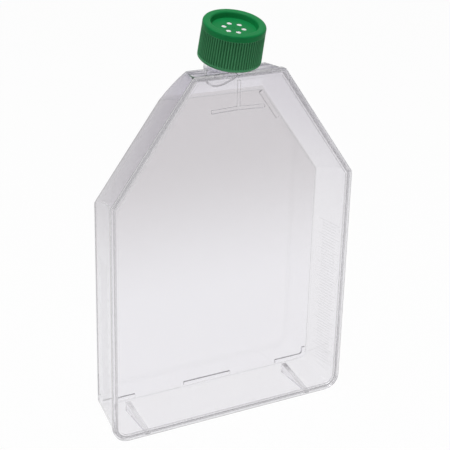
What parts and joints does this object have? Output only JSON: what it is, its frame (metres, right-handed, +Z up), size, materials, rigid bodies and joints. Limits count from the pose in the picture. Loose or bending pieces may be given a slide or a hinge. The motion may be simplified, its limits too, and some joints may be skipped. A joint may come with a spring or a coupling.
{
  "type": "cell culture flask",
  "caption": "Tall clear plastic flask with a house-shaped body, sloped shoulders, a canted neck and a green vented screw cap.",
  "frame": {"origin": "the middle of the whole flask's footprint, at the level that it stands on", "axes": "+Z up the flask from its narrow base to the neck, +Y from the front plate to the growth face, +X to the right as seen from the front"},
  "size_m": [0.15, 0.0414, 0.2353],
  "materials": {
    "clear_body": "clear, glossy moulded polystyrene",
    "clear_plate": "clear, glossy moulded polystyrene",
    "green_cap": "satin moulded polyethylene",
    "white_seal": "smooth moulded plastic",
    "white_membrane": "fine matte filter membrane"
  },
  "bodies": {
    "flask": {"flask_body": "clear_body", "front_plate": "clear_plate"},
    "cap_insert": {"seal_ring": "white_seal", "vent_membrane": "white_membrane"},
    "cap": {"cap_shell": "green_cap"}
  },
  "joints": [
    {"name": "cap_lift", "type": "slide", "parent": "flask", "child": "cap_insert", "axis": [0, -0.2487, 0.9686], "range_m": [0, 0.009]},
    {"name": "cap_turn", "type": "hinge", "parent": "cap_insert", "child": "cap", "pos_m": [0, 0.00203, 0.2058], "axis": [0, -0.2487, 0.9686], "range_deg": [0, 540]}
  ],
  "couplings": [
    {"joint": "cap_lift", "follows": "cap_turn", "m_per_rad": 0.0009549}
  ]
}
